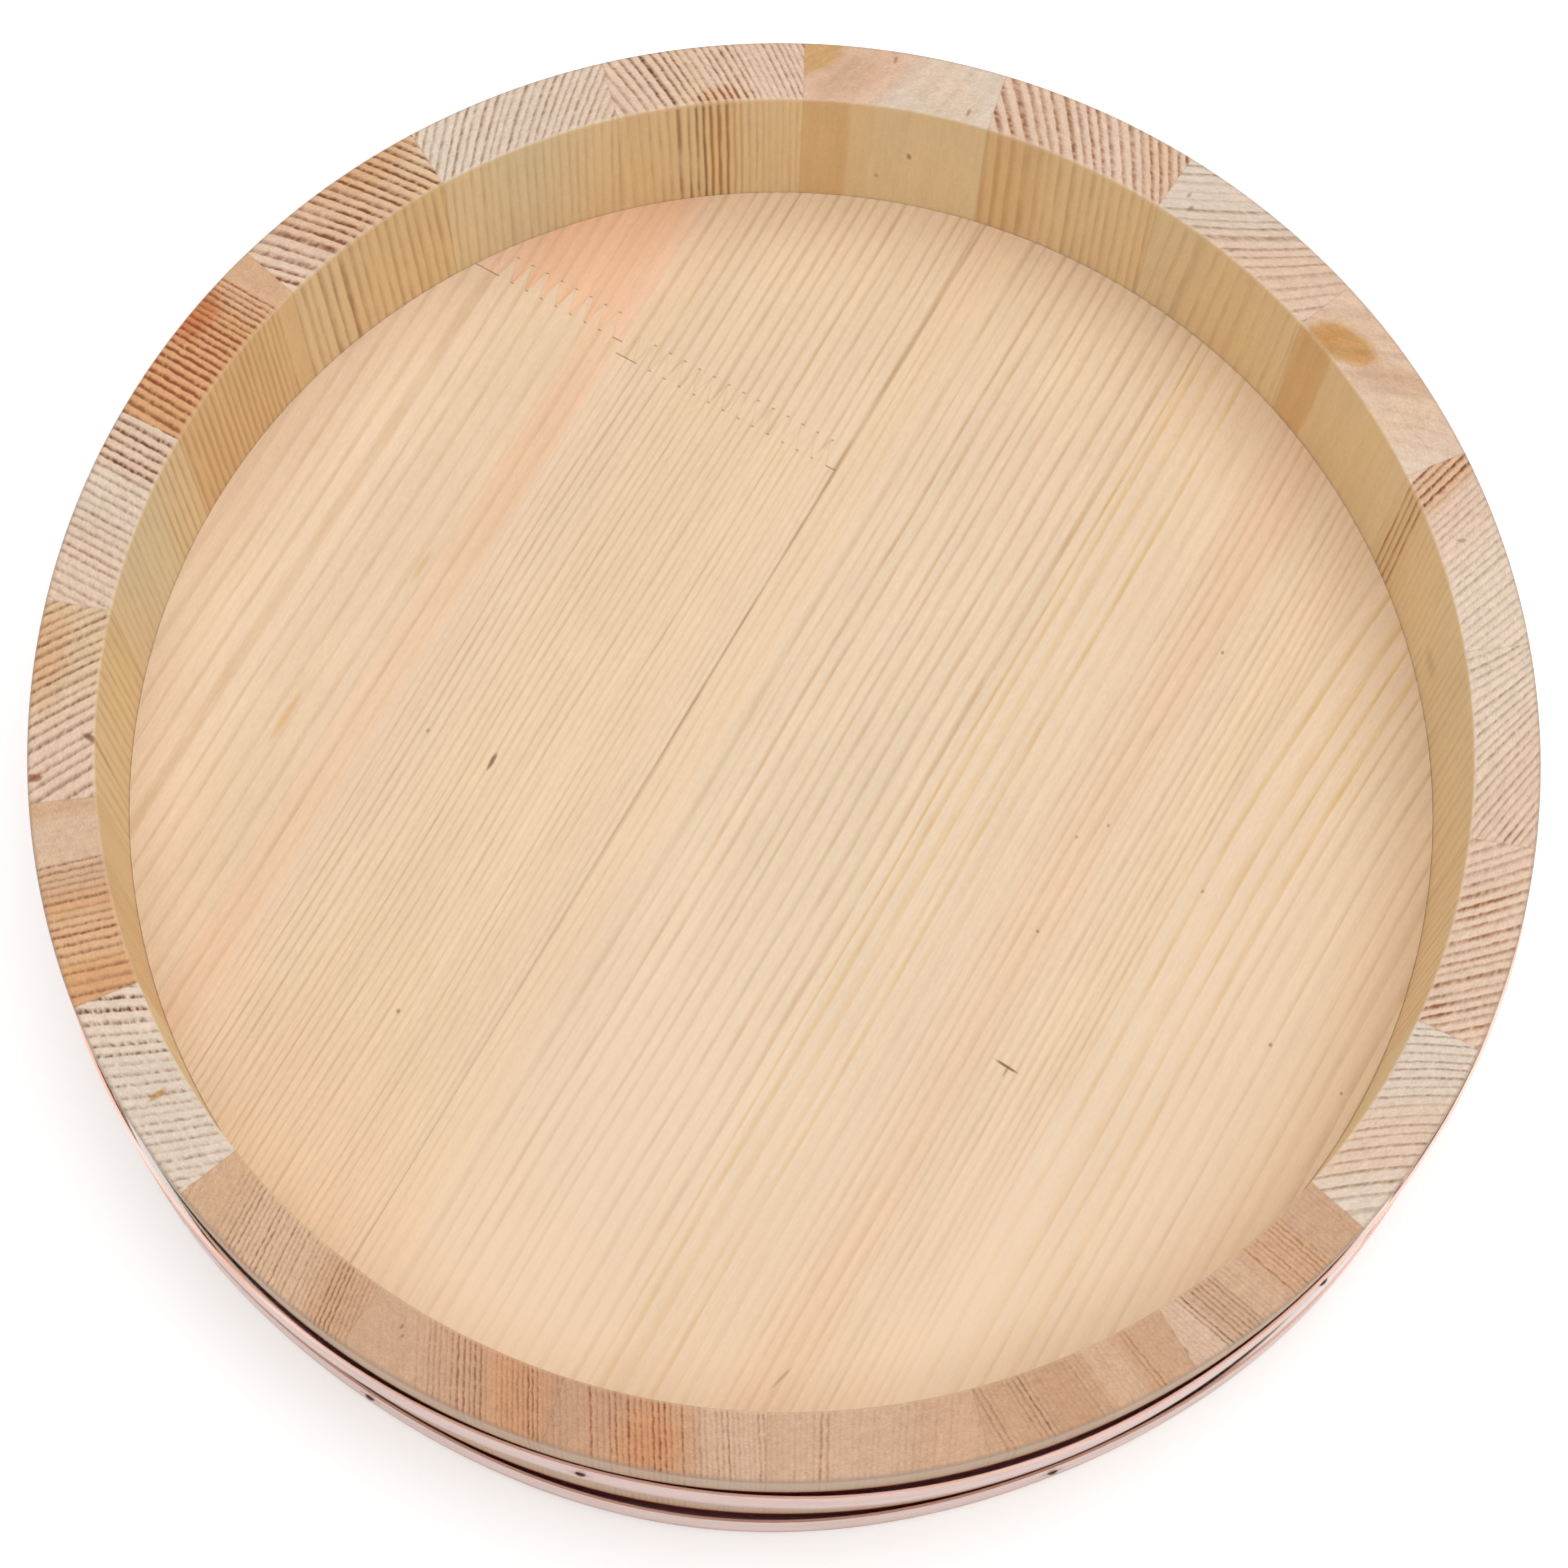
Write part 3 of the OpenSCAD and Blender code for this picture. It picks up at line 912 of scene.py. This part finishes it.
class WoodMaker:
    """Makes the material of one stave or board after another, from the same node groups."""

    # First seed, and the step to the next piece's
    STAVE_SEED = (1.7, 3.1)
    BOARD_SEED = (90.3, 4.3)
    # Blotches of the bare wood, in end grain and in side grain
    END_MOTTLE = 1.15
    SIDE_MOTTLE = 0.5
    # How steep a face is, by the height of its normal: side grain below, end grain above
    STEEP = (0.45, 0.8)
    # Half the dark seam beside a joint between staves, in mm, from full to none
    SEAM = (0.04, 0.16)
    # How soft the sides of a tint are, in mm and as a share of its width
    TINT_SOFT = (0.4, 0.14)
    LINES_SOFT = 0.5
    KNOT_SOFT = 0.6
    RAGGED = 0.35
    # How much of its own tone each of these gets
    FLANK_SHARE = 0.6
    # Nearly all of the wood behind a band takes the painted maroon shade
    BEHIND_BAND_SHADE_SHARE = 0.97
    SEAM_SHARE = 0.14
    ARRIS_SHARE = 0.25
    # How much smoother a worn edge is, and how far a seam sinks
    WORN_SHINE = 0.12
    SEAM_SINK = 0.8

    def __init__(self, wood):
        self.wood = wood
        self.rings = growth_rings()
        self.patch = patch()
        self.bare = bare_wood()

    def colour(self, name):
        return tuple(getattr(self.wood, name))

    def ground(self, sheet, piece, across, width, seed):
        """The wood between the lines, from the tone of one side to that of the other."""
        blur = sheet.noise(sheet.point(across * 0.08, seed, 2.0), detail=2.0)
        turn = sheet.ramp(across / width + blur * 0.5, 0.25, 0.75)
        low, high = piece["tones"]
        ground = sheet.mix(turn, self.colour(low), self.colour(high))
        for start, end, name, amount in piece["tints"]:
            least, more = self.TINT_SOFT
            band = sheet.window(across, start, end, least + more * (end - start))
            ground = sheet.mix(band * amount, ground, self.colour(name))
        return ground

    def oval(self, sheet, x, y, shape, soft):
        """The mask of a patch or knot."""
        *place, turn = shape
        place = dict(zip(("middle_x", "middle_y", "half_w", "half_h"), place))
        rest = {"turn": math.radians(turn), "soft": soft, "ragged": self.RAGGED}
        return sheet.use(self.patch, x=x, y=y, **place, **rest)[0]

    def lines(self, sheet, piece, across, depth, along, width, seed):
        """How strong the late wood is, and its colour."""
        low, high = (1.0 / p for p in piece["pitch"])
        (line,) = sheet.use(
            self.rings,
            across=across,
            depth=depth,
            along=along,
            rate=low,
            gain=(high - low) / (2.0 * width),
            start=seed * 0.37,
            seed=seed,
            **{habit: piece[habit] for habit in LINE_HABITS},
        )
        strength = piece["mark"]
        late = self.colour(piece["line"])
        for start, end, gain, name in piece["groups"]:
            band = sheet.window(across, start, end, self.LINES_SOFT)
            strength = band * ((gain - 1.0) * piece["mark"]) + strength
            late = sheet.mix(band, late, self.colour(name))
        return sheet.math("MINIMUM", line * strength, 1.0), late

    def patches(self, sheet, piece, colour, x, y):
        """Puts a piece's knots, resin and pinholes over its colour."""
        for *shape, name, amount, soft in piece["patches"]:
            mask = self.oval(sheet, x, y, shape, soft)
            colour = sheet.mix(mask * amount, colour, self.colour(name))
        return colour

    def finish(self, sheet, material, colour, roughness, height):
        """The shader, with the fibres' relief."""
        shader = material.node_tree.nodes["Principled BSDF"]
        sheet.put(colour, shader.inputs["Base Color"])
        sheet.put(roughness, shader.inputs["Roughness"])
        shader.inputs["IOR"].default_value = WOOD_IOR
        shader.inputs["Specular IOR Level"].default_value = WOOD_SPECULAR
        bump = sheet.node("ShaderNodeBump")
        bump.inputs["Strength"].default_value = 1.0
        bump.inputs["Distance"].default_value = self.wood.relief
        sheet.put(height, bump.inputs["Height"])
        sheet.put(Term(sheet, bump.outputs[0]), shader.inputs["Normal"])

    def on_wall(self, changes, low):
        """A stave's table, with its angles turned into mm round the wall from its first side."""

        def on_arc(azimuth):
            return (azimuth - low) * MM_A_DEGREE

        piece = {**STAVE_PLAIN, **changes}
        piece["pitch"] = [p * MM_A_DEGREE for p in piece["pitch"]]
        for kind in ("groups", "tints", "side_lines"):
            piece[kind] = [(on_arc(a), on_arc(b), *rest) for a, b, *rest in piece[kind]]
        for kind in ("patches", "knots", "side_patches"):
            piece[kind] = [(on_arc(a), *rest) for a, *rest in piece[kind]]
        return piece

    def worn_and_shaded_edges(self, sheet, z, depth):
        """Where the rim is rubbed inside, where its outer edge gets painted shade, and where the
        foot is trodden.
        """
        by_rim = sheet.ramp(z, *(TUB_H - v for v in RIM_WEAR))
        rubbed = by_rim * (1.0 - sheet.ramp(depth, *RUBBED_IN))
        dimmed = by_rim * sheet.ramp(depth, *OUTER_ARRIS_SHADE)
        trodden = 1.0 - sheet.ramp(z, *FOOT_WEAR)
        return rubbed, dimmed, trodden

    def stave(self, number, changes):
        """A stave's end grain lies on the rim, and its lines run down both sides of the wall."""
        low = FIRST_JOINT + number * STAVE_STEP
        piece = self.on_wall(changes, low)
        seed = self.STAVE_SEED[0] + number * self.STAVE_SEED[1]
        material, sheet = new_material(f"stave_wood_{number + 1:02d}")
        x, y, z = place_of(sheet)
        middle = math.radians(low + STAVE_STEP / 2)
        out_x = x * math.cos(middle) + y * math.sin(middle)
        out_y = y * math.cos(middle) - x * math.sin(middle)
        turn = sheet.math("ARCTAN2", out_y, out_x) * math.degrees(1.0)
        radius = sheet.math("SQRT", x * x + y * y)
        depth = (radius - MID_R) / WALL_T
        lean_low, lean_high = piece["lean"]
        lean = turn * ((lean_high - lean_low) / STAVE_STEP) + (lean_low + lean_high) / 2
        flat = (turn + STAVE_STEP / 2) * MM_A_DEGREE
        across = flat - (lean + depth * piece["bow"]) * depth * MM_A_DEGREE
        line, late = self.lines(sheet, piece, across, radius, z, STAVE_W, seed)
        for *shape, gain in piece["knots"]:
            line = line * (1.0 + self.oval(sheet, flat, radius, shape, self.KNOT_SOFT) * gain)
        line = sheet.math("MINIMUM", line, 1.0)
        ground = self.ground(sheet, piece, across, STAVE_W, seed)
        ground = self.patches(sheet, piece, ground, flat, radius)
        normal = Term(sheet, sheet.node("ShaderNodeNewGeometry").outputs["Normal"])
        upright = sheet.math("ABSOLUTE", sheet.split(normal)[2])
        side = 1.0 - sheet.ramp(upright, *self.STEEP)
        rubbed, dimmed, trodden = self.worn_and_shaded_edges(sheet, z, depth)
        outward = sheet.ramp(depth, -0.3, 0.3)
        inner = side * (1.0 - outward)
        outer = side * outward
        line = line * (1.0 - side * self.wood.side_lines) * (1.0 - rubbed * 0.5)
        for start, end, gain in piece["side_lines"]:
            band = sheet.window(across, start, end, self.LINES_SOFT)
            line = line * (1.0 + inner * band * gain)
        line = sheet.math("MINIMUM", line, 1.0)
        ground = sheet.mix(side * self.FLANK_SHARE, ground, self.colour("flank"))
        for *shape, name, amount, soft in piece["side_patches"]:
            mask = self.oval(sheet, flat, z, shape, soft)
            ground = sheet.mix(inner * mask * amount, ground, self.colour(name))
        edge = sheet.math("MINIMUM", flat, STAVE_W - flat)
        seam = 1.0 - sheet.ramp(edge, *self.SEAM)
        colour, roughness, height = sheet.use(
            self.bare,
            across=across,
            depth=radius,
            along=z,
            line=line,
            seed=seed,
            ground=ground,
            late_wood=late,
            mottle=self.END_MOTTLE - side * (self.END_MOTTLE - self.SIDE_MOTTLE),
            dullness=self.wood.roughness,
        )
        # End grain and inner side are tinted; the outer side is darkened as painted shade
        for mask, name in ((1.0 - side, "end_tone"), (inner, "inner_tone"), (outer, "outer_shade_tone")):
            colour = sheet.mix(mask, colour, self.colour(name), "MULTIPLY")
        # Painted shade: the outer wall behind each band is mixed almost fully to deep maroon, the
        # shade of the gap
        for low_z, high_z in BANDS_Z:
            darkened = outer * sheet.window(z, low_z, high_z, 0.3)
            colour = sheet.mix(darkened * self.BEHIND_BAND_SHADE_SHARE, colour, self.colour("behind_band_shade"))
        colour = sheet.mix(seam * self.SEAM_SHARE, colour, self.colour("bark"))
        # The rubbed inner edge and the trodden foot are wear; the greyed outer edge of the rim is
        # painted shade
        worn = ((rubbed * self.ARRIS_SHARE, "arris"), (dimmed, "outer_arris_shade"), (trodden, "dust"))
        for mask, name in worn:
            colour = sheet.mix(mask * self.wood.wear_and_shade, colour, self.colour(name))
        roughness = roughness - (rubbed + dimmed) * self.WORN_SHINE
        self.finish(sheet, material, colour, roughness, height - seam * self.SEAM_SINK)
        return material

    def glue_lines(self, sheet, name, side, along):
        """The dark glue in the finger joint of a board, and in the joint beside the middle one."""
        patchy = sheet.noise(sheet.point(side * 0.35, along * 0.06, 4.0), detail=2.0)
        for right, start, pieces in FINGER_JOINTS:
            if name in pieces:
                place = (right - FINGER_MARGIN - side) / FINGER_PITCH
                rise = (along - start) / FINGER_L
                wave = sheet.math("ABSOLUTE", (place - sheet.math("FLOOR", place)) * 2.0 - 1.0)
                away = sheet.math("ABSOLUTE", wave - (1.0 - rise)) * (FINGER_PITCH / 2)
                here = sheet.window(rise, 0.02, 0.98, 0.04) * sheet.ramp(place, -0.05, 0.0)
                yield (1.0 - sheet.ramp(away, 0.06, 0.3)) * here * (0.13 + patchy * 0.36)
        if name in OPEN_JOINT:
            away = sheet.math("ABSOLUTE", side - OPEN_JOINT_AT)
            open_here = 0.3 + 0.7 * sheet.ramp(along, -45.0, 5.0)
            yield (1.0 - sheet.ramp(away, 0.1, 0.6)) * open_here * (0.4 + patchy * 1.1)

    def board(self, number, name, changes):
        """A board of the bottom, whose lines run along its grain."""
        piece = {**BOARD_PLAIN, **changes}
        low, high = piece["low"], piece["high"]
        width = high - low
        for kind in ("groups", "tints"):
            piece[kind] = [(a - low, b - low, *rest) for a, b, *rest in piece[kind]]
        seed = self.BOARD_SEED[0] + number * self.BOARD_SEED[1]
        material, sheet = new_material(f"{name}_wood")
        x, y, z = place_of(sheet)
        cos, sin = math.cos(math.radians(GRAIN_AZ)), math.sin(math.radians(GRAIN_AZ))
        side = x * sin - y * cos
        along = x * cos + y * sin
        start, reach = piece["sweep"]
        gone = sheet.math("MAXIMUM", (along - start) * 0.01, 0.0)
        across = side - low - gone * gone * reach
        line, late = self.lines(sheet, piece, across, z, along, width, seed)
        ground = self.ground(sheet, piece, across, width, seed)
        colour, roughness, height = sheet.use(
            self.bare,
            across=across,
            depth=z,
            along=along,
            line=line,
            seed=seed,
            ground=ground,
            late_wood=late,
            mottle=self.SIDE_MOTTLE,
            dullness=self.wood.roughness,
        )
        colour = self.patches(sheet, piece, colour, side, along)
        for glue in self.glue_lines(sheet, name, side, along):
            colour = sheet.mix(glue, colour, self.colour("glue"))
        self.finish(sheet, material, colour, roughness, height)
        return material


def place_of(sheet):
    """The point being coloured, in mm from the middle of the tub's foot."""
    where = sheet.node("ShaderNodeTexCoord").outputs["Object"]
    return [value * (1.0 / MM) for value in sheet.split(Term(sheet, where))]


def new_material(name):
    """An empty material and the sheet that its nodes are laid out on."""
    material = bpy.data.materials.new(name)
    material.use_nodes = True
    return material, Sheet(material.node_tree)


def dress(node, material):
    """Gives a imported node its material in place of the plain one."""
    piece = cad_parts[node]
    piece.data.materials.clear()
    piece.data.materials.append(material)


class TUB_OT_staves(bpy.types.Operator):
    """Give each stave of the wall its own end grain and side grain"""

    bl_idname = "rice_tub.staves"
    bl_label = "Staves"

    def execute(self, context):
        maker = WoodMaker(context.scene.tub_wood)
        for number, changes in enumerate(STAVES):
            dress(f"stave_{number + 1:02d}", maker.stave(number, changes))
        return {"FINISHED"}


class TUB_OT_bottom(bpy.types.Operator):
    """Give each board of the bottom its own grain, knots and pinholes"""

    bl_idname = "rice_tub.bottom"
    bl_label = "Bottom"

    def execute(self, context):
        maker = WoodMaker(context.scene.tub_wood)
        for number, (name, changes) in enumerate(BOARDS.items()):
            dress(name, maker.board(number, name, changes))
        return {"FINISHED"}


class TUB_OT_bands(bpy.types.Operator):
    """Give the two copper bands their rolled and handled finish, with painted shade on their lower
    edges and inner faces
    """

    bl_idname = "rice_tub.bands"
    bl_label = "Bands"

    def execute(self, context):
        copper = context.scene.tub_copper
        material, sheet = new_material("copper_strip")
        x, y, z = place_of(sheet)
        round_way = sheet.math("ARCTAN2", y, x) * RIM_R
        radius = sheet.math("SQRT", x * x + y * y)
        rolled = sheet.noise(sheet.point(round_way * 0.03, z * 6.0, radius), detail=3.0)
        cloud = sheet.noise(sheet.point(round_way * 0.04, z * 0.12, 3.0), detail=3.0)
        dull = sheet.ramp(cloud + rolled * 0.9, -0.15, 0.5)
        colour = sheet.mix(dull, tuple(copper.band), tuple(copper.stain))
        film = self.tarnish_and_shade(sheet, x, y, z, cloud)
        colour = sheet.mix(film, colour, tuple(copper.tarnish_and_shade))
        normal = Term(sheet, sheet.node("ShaderNodeNewGeometry").outputs["Normal"])
        along_x, along_y, _ = sheet.split(normal)
        outward = (along_x * x + along_y * y) / radius
        # Painted shade: faces turned to the wall take the dark red inner tone, which colours the
        # shade of the gap
        shaded_inner_face = 1.0 - sheet.ramp(outward, -0.6, -0.3)
        colour = sheet.mix(shaded_inner_face, colour, tuple(copper.inner))
        shader = material.node_tree.nodes["Principled BSDF"]
        shader.inputs["Metallic"].default_value = 1.0
        sheet.put(colour, shader.inputs["Base Color"])
        dullness = copper.roughness + cloud * 0.12 + rolled * 0.12 + film * 0.2
        sheet.put(dullness, shader.inputs["Roughness"])
        bump = sheet.node("ShaderNodeBump")
        bump.inputs["Strength"].default_value = 0.6
        bump.inputs["Distance"].default_value = copper.scratch
        sheet.put(rolled, bump.inputs["Height"])
        sheet.put(Term(sheet, bump.outputs[0]), shader.inputs["Normal"])
        for node in ("upper_band", "lower_band"):
            dress(node, material)
        return {"FINISHED"}

    def tarnish_and_shade(self, sheet, x, y, z, cloud):
        """Tarnish gathers round the nails; along the lower edges of the bands the same film is
        painted shade as well as tarnish.
        """
        edge_shade = (0.3, 4.0)
        nail_film, nail_share = (1.4, 4.2), 0.5
        film = 0.0
        for (low_z, high_z), nails in zip(BANDS_Z, NAILS_AZ):
            # Painted shade, with tarnish: darker along each band's lower edge
            edge = 1.0 - sheet.ramp(z, *(low_z + v for v in edge_shade))
            edge = edge * sheet.ramp(z, low_z - 1.0, low_z - 0.5)
            film = edge * (0.5 + cloud * 0.8) + film
            for azimuth in nails:
                dx = x - RIM_R * math.cos(math.radians(azimuth))
                dy = y - RIM_R * math.sin(math.radians(azimuth))
                dz = z - (low_z + high_z) / 2
                away = sheet.math("SQRT", dx * dx + dy * dy + dz * dz)
                film = (1.0 - sheet.ramp(away, *nail_film)) * nail_share + film
        return sheet.math("MINIMUM", film, 1.0)


class TUB_OT_nails(bpy.types.Operator):
    """Give the nails that hold the bands their browned heads"""

    bl_idname = "rice_tub.nails"
    bl_label = "Nails"

    def execute(self, context):
        copper = context.scene.tub_copper
        material, sheet = new_material("browned_nail")
        x, y, z = place_of(sheet)
        spots = sheet.noise(sheet.point(x * 1.6, y * 1.6, z * 1.6), detail=3.0)
        colour = sheet.mix(
            sheet.ramp(spots, -0.15, 0.2), tuple(copper.nail_stain), tuple(copper.nail)
        )
        shader = material.node_tree.nodes["Principled BSDF"]
        shader.inputs["Metallic"].default_value = 1.0
        sheet.put(colour, shader.inputs["Base Color"])
        sheet.put(0.42 + spots * 0.3, shader.inputs["Roughness"])
        for node in ("upper_band_nails", "lower_band_nails"):
            dress(node, material)
        return {"FINISHED"}


class TUB_OT_stage(bpy.types.Operator):
    """Lay the plain pale floor and set the soft light and the camera"""

    bl_idname = "rice_tub.stage"
    bl_label = "Stage"

    def execute(self, context):
        studio = context.scene.tub_studio
        self.lay_floor(studio)
        self.set_light(context.scene, studio)
        self.set_camera(context.scene, studio)
        context.scene.view_settings.view_transform = "Standard"
        return {"FINISHED"}

    def lay_floor(self, studio):
        """A pale sweep that glows a little, so that the tub's shadow stays soft."""
        mesh = bpy.data.meshes.new("studio_floor")
        corners = [(x * FLOOR_HALF, y * FLOOR_HALF, 0) for x, y in SQUARE]
        mesh.from_pydata(corners, [], [(0, 1, 2, 3)])
        floor = bpy.data.objects.new("studio_floor", mesh)
        bpy.context.scene.collection.objects.link(floor)
        material, sheet = new_material("pale_floor")
        x, y, _ = place_of(sheet)
        grain = sheet.noise(sheet.point(x * 0.02, y * 0.02, 0.0), detail=3.0)
        shader = material.node_tree.nodes["Principled BSDF"]
        sheet.put(sheet.dim(tuple(studio.floor), 1.0 + grain * 0.01), shader.inputs["Base Color"])
        sheet.put(0.85 + grain * 0.1, shader.inputs["Roughness"])
        shader.inputs["Specular IOR Level"].default_value = FLOOR_SPECULAR
        shader.inputs["Emission Color"].default_value = WHITE
        shader.inputs["Emission Strength"].default_value = studio.glow
        mesh.materials.append(material)
        floor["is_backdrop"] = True

    def set_light(self, scene, studio):
        """An even white sky and one large softbox over the tub."""
        world = bpy.data.worlds.new("studio_sky")
        world.use_nodes = True
        sky = world.node_tree.nodes["Background"]
        sky.inputs["Color"].default_value = WHITE
        sky.inputs["Strength"].default_value = studio.sky
        scene.world = world
        data = bpy.data.lights.new("softbox", "AREA")
        data.shape = "SQUARE"
        data.size = SOFTBOX_SIDE
        data.energy = studio.lamp
        lamp = bpy.data.objects.new("softbox", data)
        lamp.location = SOFTBOX_AT
        aim = Vector((0, 0, 0)) - lamp.location
        lamp.rotation_euler = aim.to_track_quat("-Z", "Y").to_euler()
        scene.collection.objects.link(lamp)

    def set_camera(self, scene, studio):
        """The camera looks at the middle of the rim, then turns by its own small angles."""
        data = bpy.data.cameras.new("photo_camera")
        data.sensor_width = FILM_W
        data.lens = studio.lens
        data.clip_start = NEAREST
        camera = bpy.data.objects.new("photo_camera", data)
        rim = Vector((0, 0, TUB_H * MM))
        away = Vector((0, -math.cos(studio.height), math.sin(studio.height)))
        right = Vector((1, 0, 0))
        up = right.cross(-away)
        look = Matrix((right, up, away)).transposed()
        look = look @ Matrix.Rotation(studio.pan, 3, "Y") @ Matrix.Rotation(studio.tilt, 3, "X")
        look = look @ Matrix.Rotation(studio.roll, 3, "Z")
        camera.matrix_world = Matrix.Translation(rim + away * studio.distance) @ look.to_4x4()
        scene.collection.objects.link(camera)
        scene.camera = camera


class TUB_PT_panel(bpy.types.Panel):
    """Lists the tub's pieces and their settings."""

    bl_label = "Rice Tub"
    bl_idname = "TUB_PT_panel"
    bl_space_type = "VIEW_3D"
    bl_region_type = "UI"
    bl_category = "Rice Tub"

    def draw(self, context):
        layout = self.layout
        for operator in OPERATORS:
            layout.operator(operator.bl_idname)
        for group in (context.scene.tub_wood, context.scene.tub_copper, context.scene.tub_studio):
            box = layout.box()
            for name in type(group).__annotations__:
                box.prop(group, name)


OPERATORS = (TUB_OT_staves, TUB_OT_bottom, TUB_OT_bands, TUB_OT_nails, TUB_OT_stage)
GROUPS = {"tub_wood": TubWood, "tub_copper": TubCopper, "tub_studio": TubStudio}


def register():
    for made in (*GROUPS.values(), *OPERATORS, TUB_PT_panel):
        bpy.utils.register_class(made)
    for name, group in GROUPS.items():
        setattr(bpy.types.Scene, name, PointerProperty(type=group))


def unregister():
    for name in GROUPS:
        delattr(bpy.types.Scene, name)
    for made in (TUB_PT_panel, *reversed(OPERATORS), *GROUPS.values()):
        bpy.utils.unregister_class(made)


def main():
    """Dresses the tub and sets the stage."""
    register()
    bpy.ops.rice_tub.staves()
    bpy.ops.rice_tub.bottom()
    bpy.ops.rice_tub.bands()
    bpy.ops.rice_tub.nails()
    bpy.ops.rice_tub.stage()
    bpy.context.view_layer.update()
    sizes = {"cad": cad_box, "visual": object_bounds()}
    plain = {k: [[float(v) for v in corner] for corner in box] for k, box in sizes.items()}


if __name__ == "__main__":
    main()
